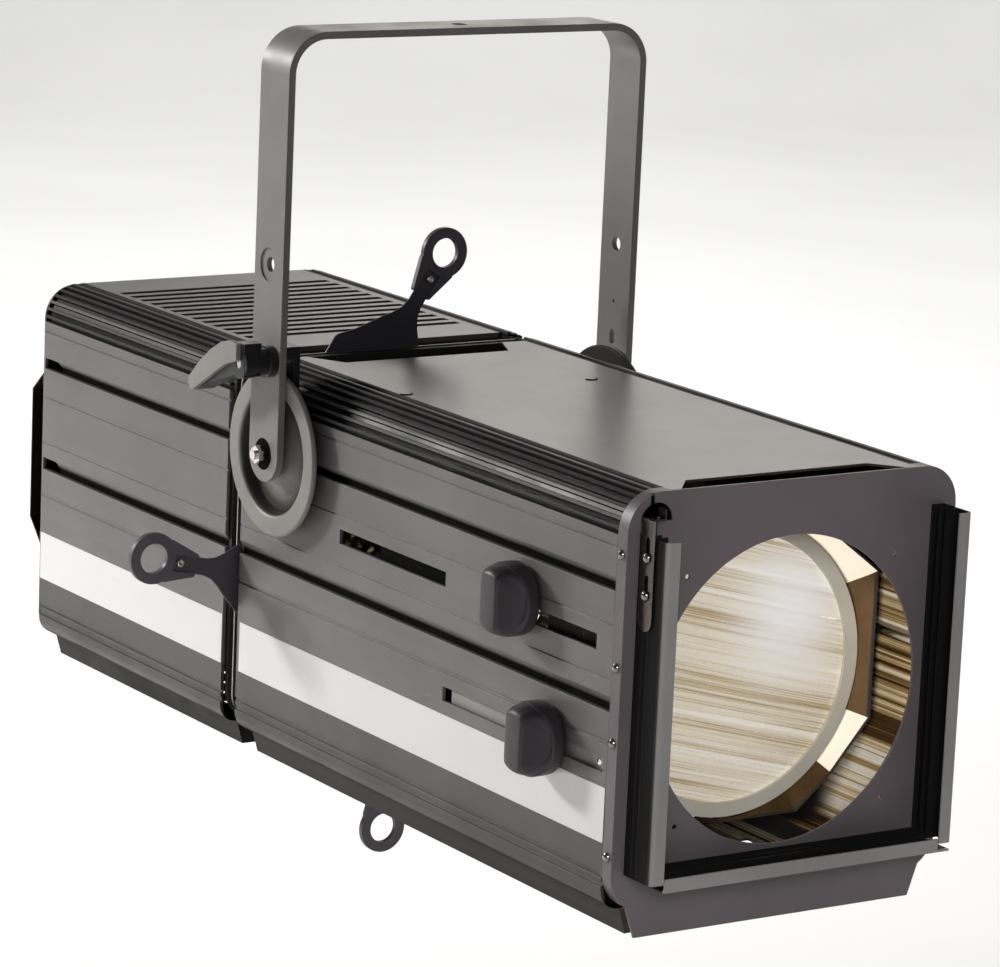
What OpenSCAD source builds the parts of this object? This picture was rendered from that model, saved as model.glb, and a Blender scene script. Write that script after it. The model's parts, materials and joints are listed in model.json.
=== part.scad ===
// Stage profile spotlight with a zoom lens tube, framing shutters and a
// hanging yoke. Every piece is drawn on the optical frame first: the optical
// axis is Y, the beam leaves towards -Y, and the outer face of the front plate
// is y = 0. Every module is then shifted so that the origin is the centre of
// the hook-bolt hole in the top face of the yoke.

/* [Housing] */
// Outside width of the housing
body_w = 300; // [300:1:306]
// Length of the lens tube behind the front cap
tube_end = 561; // [561:1:562]
// Start of the lamp house
lamp_start = 586; // [586:1:587]
// Rear end of the lamp house
lamp_end = 919; // [900:1:930]
// Height of the top face above the optical axis
top_z = 161; // [161:0.5:162]
// Depth of the bottom face under the optical axis
bot_z = 156; // [155.5:0.5:156]
// Radius of the opening in the front plate
mouth_r = 118.7; // [100:0.1:120]

/* [Yoke] */
// Width of the yoke's flat bar
bar_w = 45; // [40:1:50]
// Thickness of the yoke's flat bar
bar_t = 6; // [5:0.5:6]
// Height of the yoke's top face above the tilt axis
yoke_h = 344; // [300:1:380]
// Radius of the hole for the hook bolt (M12)
hook_r = 6.5; // [6.5:0.1:7]

/* [Tilt] */
// Radius of the tilt discs
disc_r = 68; // [66:0.5:69]
// Radius of the pivot bolts
pivot_r = 4; // [4:0.5:5]

/* [Shutters] */
// Radius of the gate aperture
gate_r = 45; // [30:1:45]
// Thickness of a shutter blade
blade_t = 1.2; // [0.8:0.1:1.2]
// Outside radius of a shutter's finger ring
ring_r = 21.5; // [20:0.5:22]
// Inside radius of a shutter's finger ring
ring_hole_r = 12.5; // [11:0.5:13]

/* [Lenses] */
// Clear radius of the front lens ring
front_clear_r = 104.6; // [90:0.1:106]
// Radius of a lens knob
knob_r = 28.5; // [24:0.5:29]

/* [Colour frame] */
// Half of the clear width between the side runners' webs
runner_x = 137.5; // [136:0.5:137.5]
// Reach of the runners in front of the front plate
runner_d = 35; // [34:0.5:36]

/* [Hidden] */
$fn = 64;
// Tilt axis on the optical frame
piv_y = 492;
piv_z = 95;
hw = body_w / 2;
// Running clearance of a shaft in its bore
run = 0.05;
// Clamp stud on the optical frame
stud_y = 483;
stud_z = 173;
// Shutter pins on the optical frame, and the direction of each blade
pin_l = [-72.5, -40.4]; dir_l = 166.5;
pin_t = [-39.2, 100.8]; dir_t = 57;
pin_r = [60, 18];       dir_r = 8;
pin_b = [3.2, -70];     dir_b = -88;

module O() { translate([0, -piv_y, -piv_z - yoke_h]) children(); }
// A drawing in X and Z, given a thickness along Y from y0 to y1
module slab(y0, y1) { translate([0, y1, 0]) rotate([90, 0, 0]) linear_extrude(y1 - y0) children(); }
// A cylinder along Y and a cylinder along X, from a to b
module ycyl(x, z, r, y0, y1, n = 64) { translate([x, y1, z]) rotate([90, 0, 0]) cylinder(r = r, h = y1 - y0, $fn = n); }
module xcyl(y, z, r, x0, x1, n = 64) { translate([x0, y, z]) rotate([0, 90, 0]) cylinder(r = r, h = x1 - x0, $fn = n); }
module box(x0, x1, y0, y1, z0, z1) { translate([x0, y0, z0]) cube([x1 - x0, y1 - y0, z1 - z0]); }
// A profile of radius and height, turned about the optical axis
module turned() { rotate([-90, 0, 0]) rotate_extrude($fn = 96) children(); }
function arc(cx, cy, r, a0, a1, n) = [for (i = [0:n]) [cx + r * cos(a0 + (a1 - a0) * i / n), cy + r * sin(a0 + (a1 - a0) * i / n)]];

// ---------------------------------------------------------------- yoke
module bar_bend(outer, inner) {
  // one rounded upper corner of the bar, as a quarter ring
  difference() { circle(r = outer); circle(r = inner); translate([-outer * 2, -outer]) square([outer * 2, outer * 2]); translate([-outer, -outer * 2]) square([outer * 2, outer * 2]); }
}
module yoke_bar() color([0.36, 0.35, 0.35]) O() {
  xo = 171; xi = xo - bar_t; zt = piv_z + yoke_h; ro = 34; ri = ro - bar_t;
  difference() {
    union() {
      slab(piv_y - bar_w / 2, piv_y + bar_w / 2) {
        translate([xi, piv_z]) square([bar_t, yoke_h - ro]);
        translate([-xo, piv_z]) square([bar_t, yoke_h - ro]);
        translate([-xo + ro, zt - bar_t]) square([2 * (xo - ro), bar_t]);
        translate([xo - ro, zt - ro]) bar_bend(ro, ri);
        translate([-xo + ro, zt - ro]) mirror([1, 0]) bar_bend(ro, ri);
      }
      xcyl(piv_y, piv_z, bar_w / 2, xi, xo);
      xcyl(piv_y, piv_z, bar_w / 2, -xo, -xi);
    }
    // bushed pivot holes
    xcyl(piv_y, piv_z, 13, -xo - 1, xo + 1);
    // hook-bolt hole
    translate([0, piv_y, zt - bar_t - 1]) cylinder(r = hook_r, h = bar_t + 2);
    // spare hook holes, half way up each arm, in a shallow round seat
    xcyl(piv_y, 250, 6, -xo - 1, xo + 1);
    xcyl(piv_y, 250, 14, -xo - 1, -xo + 1.5);
    xcyl(piv_y, 250, 14, xo - 1.5, xo + 1);
    // slot for a second clamp, and a pilot hole, in the right arm
    for (dz = [-3, 3]) xcyl(piv_y, 171 + dz, 3.3, xi - 1, xo + 1);
    box(xi - 1, xo + 1, piv_y - 3.3, piv_y + 3.3, 168, 174);
    xcyl(piv_y, 201, 1.6, xi - 1, xo + 1);
    // clamp stud hole
    xcyl(stud_y, stud_z, 4 + run, -xo - 1, -xi + 1);
  }
}
module pivot_bushes() color([0.06, 0.06, 0.06]) O()
  for (s = [-1, 1]) difference() {
    xcyl(piv_y, piv_z, 12.95, s > 0 ? 164.8 : -171.2, s > 0 ? 171.2 : -164.8);
    xcyl(piv_y, piv_z, pivot_r + run, -180, 180);
  }
module clamp_stud() color([0.6, 0.6, 0.6]) O() union() {
  xcyl(stud_y, stud_z, 4, -201, -151.9);
  xcyl(stud_y, stud_z, 6.5, -151.95, -150.45, 6);
}
module clamp_jaw() color([0.1, 0.1, 0.1]) O() difference() {
  union() {
    box(-157.6, -152, stud_y - 13, stud_y + 13, 151, 186);
    // spacer foot that meets the arm above the disc
    box(-164.8, -157.6, stud_y - 13, stud_y + 13, 176, 186);
  }
  xcyl(stud_y, stud_z, 4 + run, -170, -150);
}

// ---------------------------------------------------------------- clamp lever
module clamp_lever_hub() color([0.07, 0.07, 0.08]) O() difference() {
  union() {
    xcyl(stud_y, stud_z, 13, -178, -171.5);
    xcyl(stud_y, stud_z, 11, -190, -178);
    xcyl(stud_y, stud_z, 12.5, -201, -190);
    // grip bar, thin at its tip
    translate([-201.5, 0, 0]) rotate([90, 0, 90]) linear_extrude(15.5)
      polygon(concat([[474, 190], [489, 190], [520, 175], [548, 155]], arc(550, 147, 7.5, 60, -90, 6), [[526, 150], [503, 158], [488, 163], [474, 163]]));
  }
  xcyl(stud_y, stud_z, 4 + run, -210, -170);
}
module clamp_lever_plate() color([0.68, 0.67, 0.65]) O()
  translate([-205.5, 0, 0]) rotate([90, 0, 90]) linear_extrude(3.95)
    polygon(concat([[480, 189], [490, 191], [505, 187], [522, 178], [540, 165], [553, 153]], arc(551, 146, 6.5, 40, -90, 5), [[538, 147], [516, 160], [498, 170], [480, 176]]));

// ---------------------------------------------------------------- tilt pivot
module pivot_bolts() color([0.62, 0.62, 0.62]) O()
  for (s = [-1, 1]) union() {
    xcyl(piv_y, piv_z, pivot_r, s > 0 ? 141 : -181, s > 0 ? 181 : -141);
    xcyl(piv_y, piv_z, 8, s > 0 ? 134 : -141.2, s > 0 ? 141.2 : -134, 6);
  }
module pivot_nuts() color([0.8, 0.8, 0.78]) O()
  for (s = [-1, 1]) difference() {
    xcyl(piv_y, piv_z, 7.7, s > 0 ? 171.6 : -178.4, s > 0 ? 178.4 : -171.6, 6);
    xcyl(piv_y, piv_z, pivot_r + run, -190, 190);
  }
// Dished disc: hub, deep bowl, flat rim that the clamp grips
module tilt_disc()
  rotate_extrude($fn = 128) polygon([[pivot_r + run, 0.1], [46, 0.1], [50, 5], [52, 9], [66.5, 9], [disc_r, 10.5], [disc_r, 12.8], [disc_r - 1.2, 14], [53.2, 14], [51.4, 13.2], [49.5, 10],
    [47.5, 4.2], [44.5, 3.4], [36, 4.4], [26, 7.2], [18, 10.6], [14.5, 12.2], [12.5, 14.7], [pivot_r + run, 14.7]]);
module tilt_discs() color([0.62, 0.6, 0.56]) O() {
  translate([-hw, piv_y, piv_z]) rotate([0, -90, 0]) tilt_disc();
  translate([hw, piv_y, piv_z]) rotate([0, 90, 0]) tilt_disc();
}

// ---------------------------------------------------------------- housing
// Half section of the housing wall: fins round the upper corner, two deep
// grooves, fine lines, and a rounded lower corner. Right-hand side.
function fins() = [for (i = [0:6]) for (p = [[26, 3.0], [30, 2.4], [30, -2.4], [26, -3.0]]) let (a = 84.5 - 13.2 * i + p[1]) [hw - 30 + p[0] * cos(a), top_z - 30 + p[0] * sin(a)]];
function wall_pts() = concat(
  [[hw - 37.5, top_z - 4], [hw - 37.5, top_z], [hw - 34.5, top_z], [hw - 34, top_z - 4]], fins(),
  [[hw - 4, top_z - 30.5], [hw - 4, top_z - 31.5], [hw, top_z - 32], [hw, 121.2], [hw - 1.4, 120.6], [hw - 1.4, 119.6], [hw, 119]],
  [[hw, 97], [hw - 5.5, 90], [hw - 5.5, 86.5], [hw, 86.5], [hw, 61.8], [hw - 1, 61.2], [hw - 1, 60.6], [hw, 60]],
  [[hw, 20.8], [hw - 1, 20.2], [hw - 1, 19.6], [hw, 19], [hw, 7], [hw - 5.5, -1], [hw - 5.5, -4.5], [hw, -4.5], [hw, -26], [hw - 1.2, -26.8], [hw - 1.2, -28.6], [hw, -29.4]],
  [[hw, -127], [hw - 1.3, -127.8], [hw - 1.3, -129.4], [hw, -130.2], [hw, -133], [hw - 1.3, -133.8], [hw - 1.3, -137], [hw, -137.8]],
  arc(hw - 16, -bot_z + 16, 16, 0, -90, 6), [[hw - 32, -bot_z], [hw - 32, -bot_z + 3]],
  arc(hw - 16, -bot_z + 16, 13, -90, 0, 6),
  [[hw - 3, -7.5], [hw - 8.5, -7.5], [hw - 8.5, 0], [hw - 3, 8.2], [hw - 3, 83.5], [hw - 8.5, 83.5], [hw - 8.5, 91], [hw - 3, 98.4]],
  arc(hw - 30, top_z - 30, 23, 0, 90, 6));
module wall(y0, y1) slab(y0, y1) polygon(wall_pts());
// Boxes cut through the right-hand wall
module wall_cut(y0, y1, z0, z1) box(hw - 12, hw + 1, y0, y1, z0, z1);
module rear_wall() difference() {
  wall(lamp_start, lamp_end);
  // the two grooves end in open pockets
  wall_cut(lamp_end - 25, lamp_end + 1, 86.6, 96);
  wall_cut(lamp_end - 25, lamp_end + 1, -4.4, 6);
}
module rear_side_left() color([0.3, 0.3, 0.3]) O() mirror([1, 0, 0]) rear_wall();
module rear_side_right() color([0.3, 0.3, 0.3]) O() {
  difference() {
    union() {
      rear_wall();
      // hinge knuckles for the rear door
      for (z = [-60, 22]) {
        translate([hw + 4.5, lamp_end, z]) cylinder(r = 4.5, h = 38);
        box(hw - 1, hw + 4.5, lamp_end - 8, lamp_end - 0.5, z, z + 38);
      }
    }
    translate([hw + 4.5, lamp_end, -70]) cylinder(r = 2 + run, h = 140);
    // room behind the knuckles for the door's own edge
    box(hw - 0.4, hw + 0.4, lamp_end - 0.4, lamp_end + 6, -61, 61);
  }
}
module front_wall() difference() {
  wall(12.2, tube_end);
  xcyl(piv_y, piv_z, pivot_r + run, hw - 20, hw + 5);
}
module front_side_left() color([0.32, 0.32, 0.32]) O() mirror([1, 0, 0]) difference() {
  front_wall();
  wall_cut(33, 190, 38, 50);
  wall_cut(242, 402, 38, 50);
  wall_cut(17, 240, -51.5, -40);
}
module front_side_right() color([0.32, 0.32, 0.32]) O() front_wall();
module rear_top_grille() color([0.42, 0.41, 0.4]) O() difference() {
  union() {
    box(-hw + 37.7, hw - 37.7, lamp_start, lamp_end, top_z - 3, top_z);
    // return lips down the front and back edges
    box(-hw + 38, hw - 38, lamp_start, lamp_start + 2, top_z - 22, top_z - 3);
    box(-hw + 38, hw - 38, lamp_end - 2, lamp_end, top_z - 22, top_z - 3);
  }
  for (i = [0:12]) box(-106, 104, 634 + 18.4 * i, 643.5 + 18.4 * i, top_z - 4, top_z + 1);
}
module front_top_cover() color([0.5, 0.49, 0.47]) O() difference() {
  box(-hw + 37.7, hw - 37.7, 2.4, 545, top_z - 2, top_z);
  // notched front and rear edges
  translate([0, 0, top_z - 3]) linear_extrude(4) {
    polygon([[-104, 1], [-83, 26], [83, 26], [104, 1]]);
    polygon([[-103, 546], [-84, 511], [74, 511], [90, 546]]);
  }
}
// Shallow ventilation box under a section: tapered sides, open top
module vent_box(y0, y1) {
  slab(y0, y1) polygon([[-133, -bot_z - 0.1], [-127, -176.4], [127, -176.4], [133, -bot_z - 0.1], [130.8, -bot_z - 0.1], [125.3, -174.4], [-125.3, -174.4], [-130.8, -bot_z - 0.1]]);
  // cross webs
  for (y = [y0, y1 - 2]) slab(y, y + 2) polygon([[-131.8, -bot_z - 0.6], [-126.3, -175.4], [126.3, -175.4], [131.8, -bot_z - 0.6]]);
}
module rear_bottom_box() color([0.13, 0.13, 0.13]) O() difference() {
  vent_box(lamp_start + 0.5, lamp_end);
  for (i = [0:7]) box(-100, 100, 640 + 30 * i, 652 + 30 * i, -178, -172);
  // lamp adjusting shaft and cable entry
  ycyl(0, -166, 3 + run, lamp_end - 4, lamp_end + 1);
  ycyl(-80, -166.5, 7.5, lamp_end - 4, lamp_end + 1);
}
module front_bottom_box() color([0.13, 0.13, 0.13]) O() difference() {
  vent_box(12.2, tube_end);
  for (i = [0:5]) box(-100, 100, 80 + 80 * i, 92 + 80 * i, -178, -172);
}
module cap_outline(d) {
  // rounded rectangle; d is the inset
  r = 30 - d;
  translate([-hw + d, -bot_z + 30]) square([2 * (hw - d), top_z + bot_z - 60]);
  translate([-hw + 30, -bot_z + d]) square([2 * (hw - 30), top_z + bot_z - 2 * d]);
  for (x = [-hw + 30, hw - 30]) for (z = [top_z - 30, -bot_z + 30]) translate([x, z]) circle(r = r);
}
module front_cap() color([0.38, 0.36, 0.37]) O() difference() {
  union() {
    slab(0, 2) { cap_outline(0); polygon([[-136, -150], [-127, -176.4], [127, -176.4], [136, -150]]); }
    difference() {
      slab(1, 12) cap_outline(0);
      slab(0, 13) cap_outline(2);
      box(-hw + 37.6, hw - 37.6, 2, 14, 100, 170);
      box(-hw + 32, hw - 32, 2, 14, -170, -100);
    }
  }
  ycyl(0, 0, mouth_r, -1, 3, 128);
  for (x = [-95, 95]) for (z = [-95, 95]) ycyl(x, z, 2.1, -1, 3);
  // half-round window for the frame latch, with a slit to the top edge
  intersection() { ycyl(-125, 139, 14, -1, 3); box(-150, -100, -1, 3, 139, 160); }
  box(-131, -127, -1, 3, 150, 170);
  // side screw holes
  for (z = [115, 30.5, -26.5, -113]) xcyl(6.5, z, 2 + run, -160, 160);
}
// Frame runner: a web with a front lip and two inner lips, drawn in X and Y
// for the right-hand side; the outer front corner is a bend
module runner_section(x1, depth) {
  w = 1.5;
  difference() {
    union() {
      translate([x1, -depth + 4]) square([w, depth - 4.1]);
      translate([127, -depth]) square([x1 + w - 4 - 127, w]);
      translate([x1 + w - 4, -depth + 4]) difference() { circle(r = 4); circle(r = 4 - w); translate([-5, -5]) square([5, 10]); translate([-5, 0]) square([10, 5]); }
      for (y = [-18.5, -10.5]) translate([127, y]) square([x1 - 127 + 0.5, w]);
      translate([127, -1.6]) square([x1 - 127 + 0.5, w]);
    }
  }
}
module frame_runner_right() color([0.45, 0.44, 0.44]) O() translate([0, 0, -126]) linear_extrude(257) runner_section(runner_x, runner_d);
module frame_runner_left() color([0.45, 0.44, 0.44]) O() difference() {
  translate([0, 0, -126]) linear_extrude(257) mirror([1, 0]) runner_section(runner_x, runner_d);
  for (z = [88, 116]) xcyl(-13, z, 2 + run, -145, -130);
}
module frame_runner_bottom() color([0.45, 0.44, 0.44]) O() {
  zb = -132.5;
  box(-126, 137, -runner_d + 0, -0.1, zb, zb + 1.5);
  box(-126, 126, -runner_d, -runner_d + 1.5, zb + 1.4, -122);
  box(-126, 126, -18.5, -17, zb + 1.4, -122);
  box(-126, 126, -10.5, -9, zb + 1.4, -122);
  box(-126, 126, -1.6, -0.1, zb + 1.4, -122);
}
module dome_screw(l) {
  // button head and shank along +X, head face at the origin
  rotate([0, 90, 0]) cylinder(r = 2, h = l);
  rotate([0, -90, 0]) rotate_extrude($fn = 48) polygon([[0, -0.01], [3.9, -0.01], [3.9, 0.6], [3.4, 1.6], [2.3, 2.4], [1.2, 2.75], [0, 2.85]]);
}
module front_screws() color([0.8, 0.79, 0.77]) O() {
  for (z = [115, 30.5, -26.5, -113]) {
    translate([-hw - 0.1, 6.5, z]) dome_screw(7);
    translate([hw + 0.1, 6.5, z]) mirror([1, 0, 0]) dome_screw(7);
  }
  // latch screws in the left runner
  for (z = [88, 116]) translate([-141.2, -13, z]) dome_screw(6);
}

// ---------------------------------------------------------------- gate
module gate_outline() { difference() { union() {
  r = 24; x = 146; z0 = -152; z1 = 157;
  translate([-x, z0 + r]) square([2 * x, z1 - z0 - 2 * r]);
  translate([-x + r, z0]) square([2 * (x - r), z1 - z0]);
  for (cx = [-x + r, x - r]) for (cz = [z0 + r, z1 - r]) translate([cx, cz]) circle(r = r);
} } }
module gate_plate(y0, y1, r) slab(y0, y1) difference() { gate_outline(); circle(r = r); }
module gate_front_plate() color([0.15, 0.15, 0.15]) O() difference() {
  gate_plate(tube_end + 0.1, 565, gate_r + 15);
  for (x = [-137, 137]) ycyl(x, 18, 4 + run, 550, 570);
  ycyl(pin_l[0], pin_l[1], 2.95 + run, 563, 566);
}
module gate_divider() color([0.55, 0.55, 0.55]) O() difference() {
  gate_plate(573, 574.5, gate_r);
  ycyl(pin_r[0], pin_r[1], 2.95 + run, 572, 573.8);
  ycyl(pin_t[0], pin_t[1], 2.95 + run, 573.8, 576);
}
module gate_rear_plate() color([0.15, 0.15, 0.15]) O() difference() {
  gate_plate(582, lamp_start - 0.1, gate_r + 5);
  ycyl(pin_b[0], pin_b[1], 2.95 + run, 581, 584);
}
module gate_spacers() color([0.6, 0.6, 0.6]) O()
  for (p = [[-126, 134], [126, 134], [-126, -130], [126, -130]]) {
    ycyl(p[0], p[1], 6, 565.05, 572.95);
    ycyl(p[0], p[1], 6, 574.55, 581.95);
  }
module guide_rods() color([0.7, 0.7, 0.7]) O() for (x = [-137, 137]) ycyl(x, 18, 4, 14, 564.9);

// ---------------------------------------------------------------- lamp house
function bowl(r0, d) = [for (i = [0:12]) let (y = 130 * i / 12) [r0 * sqrt(1 - pow(y / d, 2)), y]];
module reflector() color([0.85, 0.82, 0.72]) O() translate([0, 640, 0]) turned()
  polygon(concat([[100, -1.9], [100, 0], [92 + 1.5, 0]], [for (p = bowl(93.5, 141.5)) if (p[1] > 0) p], [for (i = [12:-1:0]) bowl(91.5, 139.5)[i]], [[91.5, -1.9]]));
module reflector_bracket() color([0.5, 0.5, 0.5]) O() slab(634, 638) difference() { square([282.8, 250], center = true); circle(r = 90); for (x = [-1, 1]) for (z = [-110, 110]) translate([x * 120, z]) circle(r = 3); }
module lamp_carriage() color([0.6, 0.6, 0.6]) O() difference() {
  union() {
    box(-40, 40, 822, 826, -50, 50);
    box(-12, 12, 822, 826, -172, -49);
    // nut block on the adjusting shaft
    box(-8, 8, 815, 833, -172, -159);
  }
  ycyl(0, -166, 3 + run, 800, 840);
}
module lampholder() color([0.9, 0.89, 0.85]) O() difference() {
  union() { box(-24, 24, 796, 821.9, -20, 20); box(-17, 17, 788, 797, -15, 15); }
  for (x = [-10, 10]) ycyl(x, 0, 3 + run, 786, 812);
}
module lamp() color([0.8, 0.85, 0.9]) O() {
  union() {
    translate([0, 712, 0]) turned() polygon(concat([[0, -22]], arc(0, 0, 16, -70, 0, 8), [[16, 52], [13, 60], [14, 62], [14, 75.9], [0, 75.9]]));
    for (x = [-10, 10]) ycyl(x, 0, 3, 787, 808);
  }
}
module lamp_adjust_knob() color([0.1, 0.1, 0.1]) O() difference() {
  union() {
    ycyl(0, -166, 3, 800, lamp_end + 3);
    ycyl(0, -166, 11, lamp_end + 2.5, lamp_end + 16);
  }
  // grip flutes
  for (a = [0:30:330]) ycyl(12.2 * cos(a), -166 + 12.2 * sin(a), 2, lamp_end + 1, lamp_end + 14, 16);
}
module cable_gland() color([0.1, 0.1, 0.1]) O() difference() {
  union() {
    ycyl(-80, -166.5, 7.4, lamp_end - 14, lamp_end + 2);
    ycyl(-80, -166.5, 9.6, lamp_end + 0.1, lamp_end + 6, 6);
    ycyl(-80, -166.5, 8.2, lamp_end + 6, lamp_end + 18);
    // lock nut inside the box
    ycyl(-80, -166.5, 8.8, lamp_end - 8, lamp_end - 2.1, 6);
  }
  ycyl(-80, -166.5, 4.5, lamp_end - 20, lamp_end + 20);
}

// ---------------------------------------------------------------- rear door
module rear_door() color([0.3, 0.3, 0.3]) O() difference() {
  union() {
    slab(lamp_end + 0.2, lamp_end + 3) {
      translate([-hw + 1, -136]) square([2 * hw - 2, 266]);
      translate([-hw + 15, -150]) square([2 * hw - 30, 20]);
      for (x = [-hw + 15, hw - 15]) translate([x, -136]) circle(r = 14);
      translate([-hw + 30, -150]) square([2 * hw - 60, 310]);
      for (x = [-hw + 30, hw - 30]) translate([x, 131]) circle(r = 29);
    }
    translate([hw + 4.5, lamp_end, -21.8]) cylinder(r = 4.5, h = 43.6);
    box(hw - 2, hw + 4.5, lamp_end + 0.2, lamp_end + 3, -21.8, 21.8);
  }
  translate([hw + 4.5, lamp_end, -70]) cylinder(r = 2 + run, h = 140);
  // the knuckles of the lamp house need room in the door's edge
  for (z = [-61, 21]) box(hw - 1.6, hw + 2, lamp_end - 1, lamp_end + 6, z + (z > 0 ? 0.8 : 0), z + 40);
  // ventilation slots behind the baffle
  for (i = [0:6]) box(-110, 110, lamp_end - 1, lamp_end + 5, -56 + 18 * i, -48 + 18 * i);
}
// Folded sheet over the door's vents, open at both sides, with feet turned inwards
module rear_baffle() color([0.16, 0.16, 0.16]) O()
  translate([-149, lamp_end, 0]) rotate([90, 0, 90]) linear_extrude(298)
    polygon([[3.05, 82], [24, 64], [24, -53], [3.05, -74], [3.05, -63], [4.55, -63], [4.55, -70.4], [22.5, -52.4], [22.5, 63.3], [4.55, 78.7], [4.55, 71], [3.05, 71]]);
module door_hinge_pin() color([0.7, 0.7, 0.7]) O() translate([hw + 4.5, lamp_end, -62]) { cylinder(r = 2, h = 124); translate([0, 0, 122.1]) cylinder(r = 3.4, h = 2.4); }

// ---------------------------------------------------------------- lenses
// Folded sheet carrier: eight-sided plate, side flanges and guide ears
module lens_carrier(y, hole, f0, f1) difference() {
  union() {
    slab(y, y + 2) polygon([[130, -52], [130, 66], [92, 88], [64, 112], [-64, 112], [-92, 88], [-130, 66], [-130, -52], [-90, -92], [-62, -114], [62, -114], [90, -92]]);
    for (s = [-1, 1]) {
      box(s > 0 ? 128.5 : -130, s > 0 ? 130 : -128.5, f0, f1, -52, 66);
      box(s > 0 ? 129.5 : -142.5, s > 0 ? 142.5 : -129.5, f0 + 4, f0 + 38, 10.5, 25.5);
    }
  }
  ycyl(0, 0, hole, y - 1, y + 3, 128);
  for (x = [-137, 137]) ycyl(x, 18, 4 + run, f0 - 10, f1 + 10);
}
// Lens: rim of radius r between y = 0 and t, bulged by f forwards and b back
function lens_pts(r, t, f, b) = concat([for (i = [0:10]) let (u = i / 10) [r * u * 0.925, -f * (1 - u * u)]], [[r - 0.8, 0], [r, 0.8], [r, t - 0.8], [r - 0.8, t]], [for (i = [10:-1:0]) let (u = i / 10) [r * u * 0.925, t + b * (1 - u * u)]]);
module lens(r, t, f, b) turned() polygon(lens_pts(r, t, f, b));
module lens_ring(ro, ri, ry, y0, y1) difference() {
  ycyl(0, 0, ro, y0, y1, 128);
  ycyl(0, 0, ri, y0 - 1, y1 + 1, 128);
  ycyl(0, 0, ry, y0 + 3, y1 + 1, 128);
}
module front_lens_carrier() color([0.62, 0.5, 0.3]) O() difference() {
  lens_carrier(80, 105.5, 80, 128);
  xcyl(91, -44.5, 2.5 + run, -135, -120);
}
module front_lens() color([0.9, 0.88, 0.7]) O() translate([0, 69.1, 0]) lens(111, 10, 5, 22);
module front_lens_ring() color([0.86, 0.84, 0.74]) O() lens_ring(116, front_clear_r, 111.2, 66, 79.9);
// Flat strip that closes the slot from inside and carries the knob's stud
module front_lens_rail() color([0.72, 0.71, 0.68]) O() difference() {
  union() { box(-146.5, -144.5, 20, 232, -54, -38); box(-145, -130.1, 84, 112, -53, -38); }
  xcyl(91, -44.5, 2.5 + run, -160, -120);
  xcyl(27, -45.8, 1.6, -150, -140);
}
module rear_lens_carrier() color([0.25, 0.25, 0.25]) O() lens_carrier(310, 92, 298, 350);
module rear_lens() color([0.9, 0.88, 0.7]) O() translate([0, 312.2, 0]) rotate([0, 0, 0]) lens(97, 9, 3, 24);
module rear_lens_ring() color([0.3, 0.3, 0.3]) O() translate([0, 634.2, 0]) mirror([0, 1, 0]) lens_ring(102, 90, 97.2, 309.2, 322.1);
module rear_lens_rail() color([0.12, 0.12, 0.12]) O() difference() {
  union() { box(-146.5, -144.5, 122, 345, 36, 52); box(-145, -130.1, 300, 330, 37, 52); }
  xcyl(133, 47.4, 2.5 + run, -160, -120);
}
// Knob: turned body with rounded edges and two finger scoops beside an
// upright grip ridge; e lifts the body over its stud
module lens_knob(y, z, e, x_in) {
  difference() {
    translate([-153, y, z + e]) rotate([0, -90, 0]) rotate_extrude($fn = 96) polygon(concat([[0, 0], [knob_r - 4.5, 0], [knob_r - 2.5, 1]], arc(knob_r - 5, 8, 5, -40, 0, 4), arc(knob_r - 7.5, 21.5, 6.5, 0, 80, 6), [[knob_r - 10, 29], [0, 30]]));
    for (s = [-1, 1]) {
      translate([-186, y + s * 14, z + e - 9]) cylinder(r = 10.5, h = 18);
      for (dz = [-9, 9]) translate([-186, y + s * 14, z + e + dz]) sphere(r = 10.5);
    }
  }
  xcyl(y, z, 2.5, -156, x_in);
}
module focus_knob() color([0.17, 0.16, 0.18]) O() lens_knob(91, -44.5, 2, -126);
module zoom_knob() color([0.17, 0.16, 0.18]) O() lens_knob(133, 47.4, 7.5, -143);

// ---------------------------------------------------------------- frame latch
module frame_latch() color([0.6, 0.58, 0.54]) O() difference() {
  union() {
    box(-140.8, -139.3, -21.5, -4, 70, 144);
    xcyl(-12.75, 70, 8.75, -140.8, -139.3);
    box(-140.8, -126, -14, -4.5, 142.5, 144);
    box(-127.5, -126, -14, -4.5, 143.9, 151);
  }
  for (z = [83, 111]) {
    for (dz = [2.5, 17.5]) xcyl(-13, z + dz, 2.5, -150, -130);
    box(-150, -130, -15.5, -10.5, z + 2.5, z + 17.5);
  }
}

// ---------------------------------------------------------------- shutters
// Blade outline as [distance from the finger ring, half width]; e stretches
// the neck
function blade_half(e) = [[20, 7.2], [50 + e, 7.2], [58 + e, 9], [66 + e, 14], [74 + e, 21], [82 + e, 27], [95 + e, 37], [108 + e, 50], [112 + e, 52], [176 + e, 52]];
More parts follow.
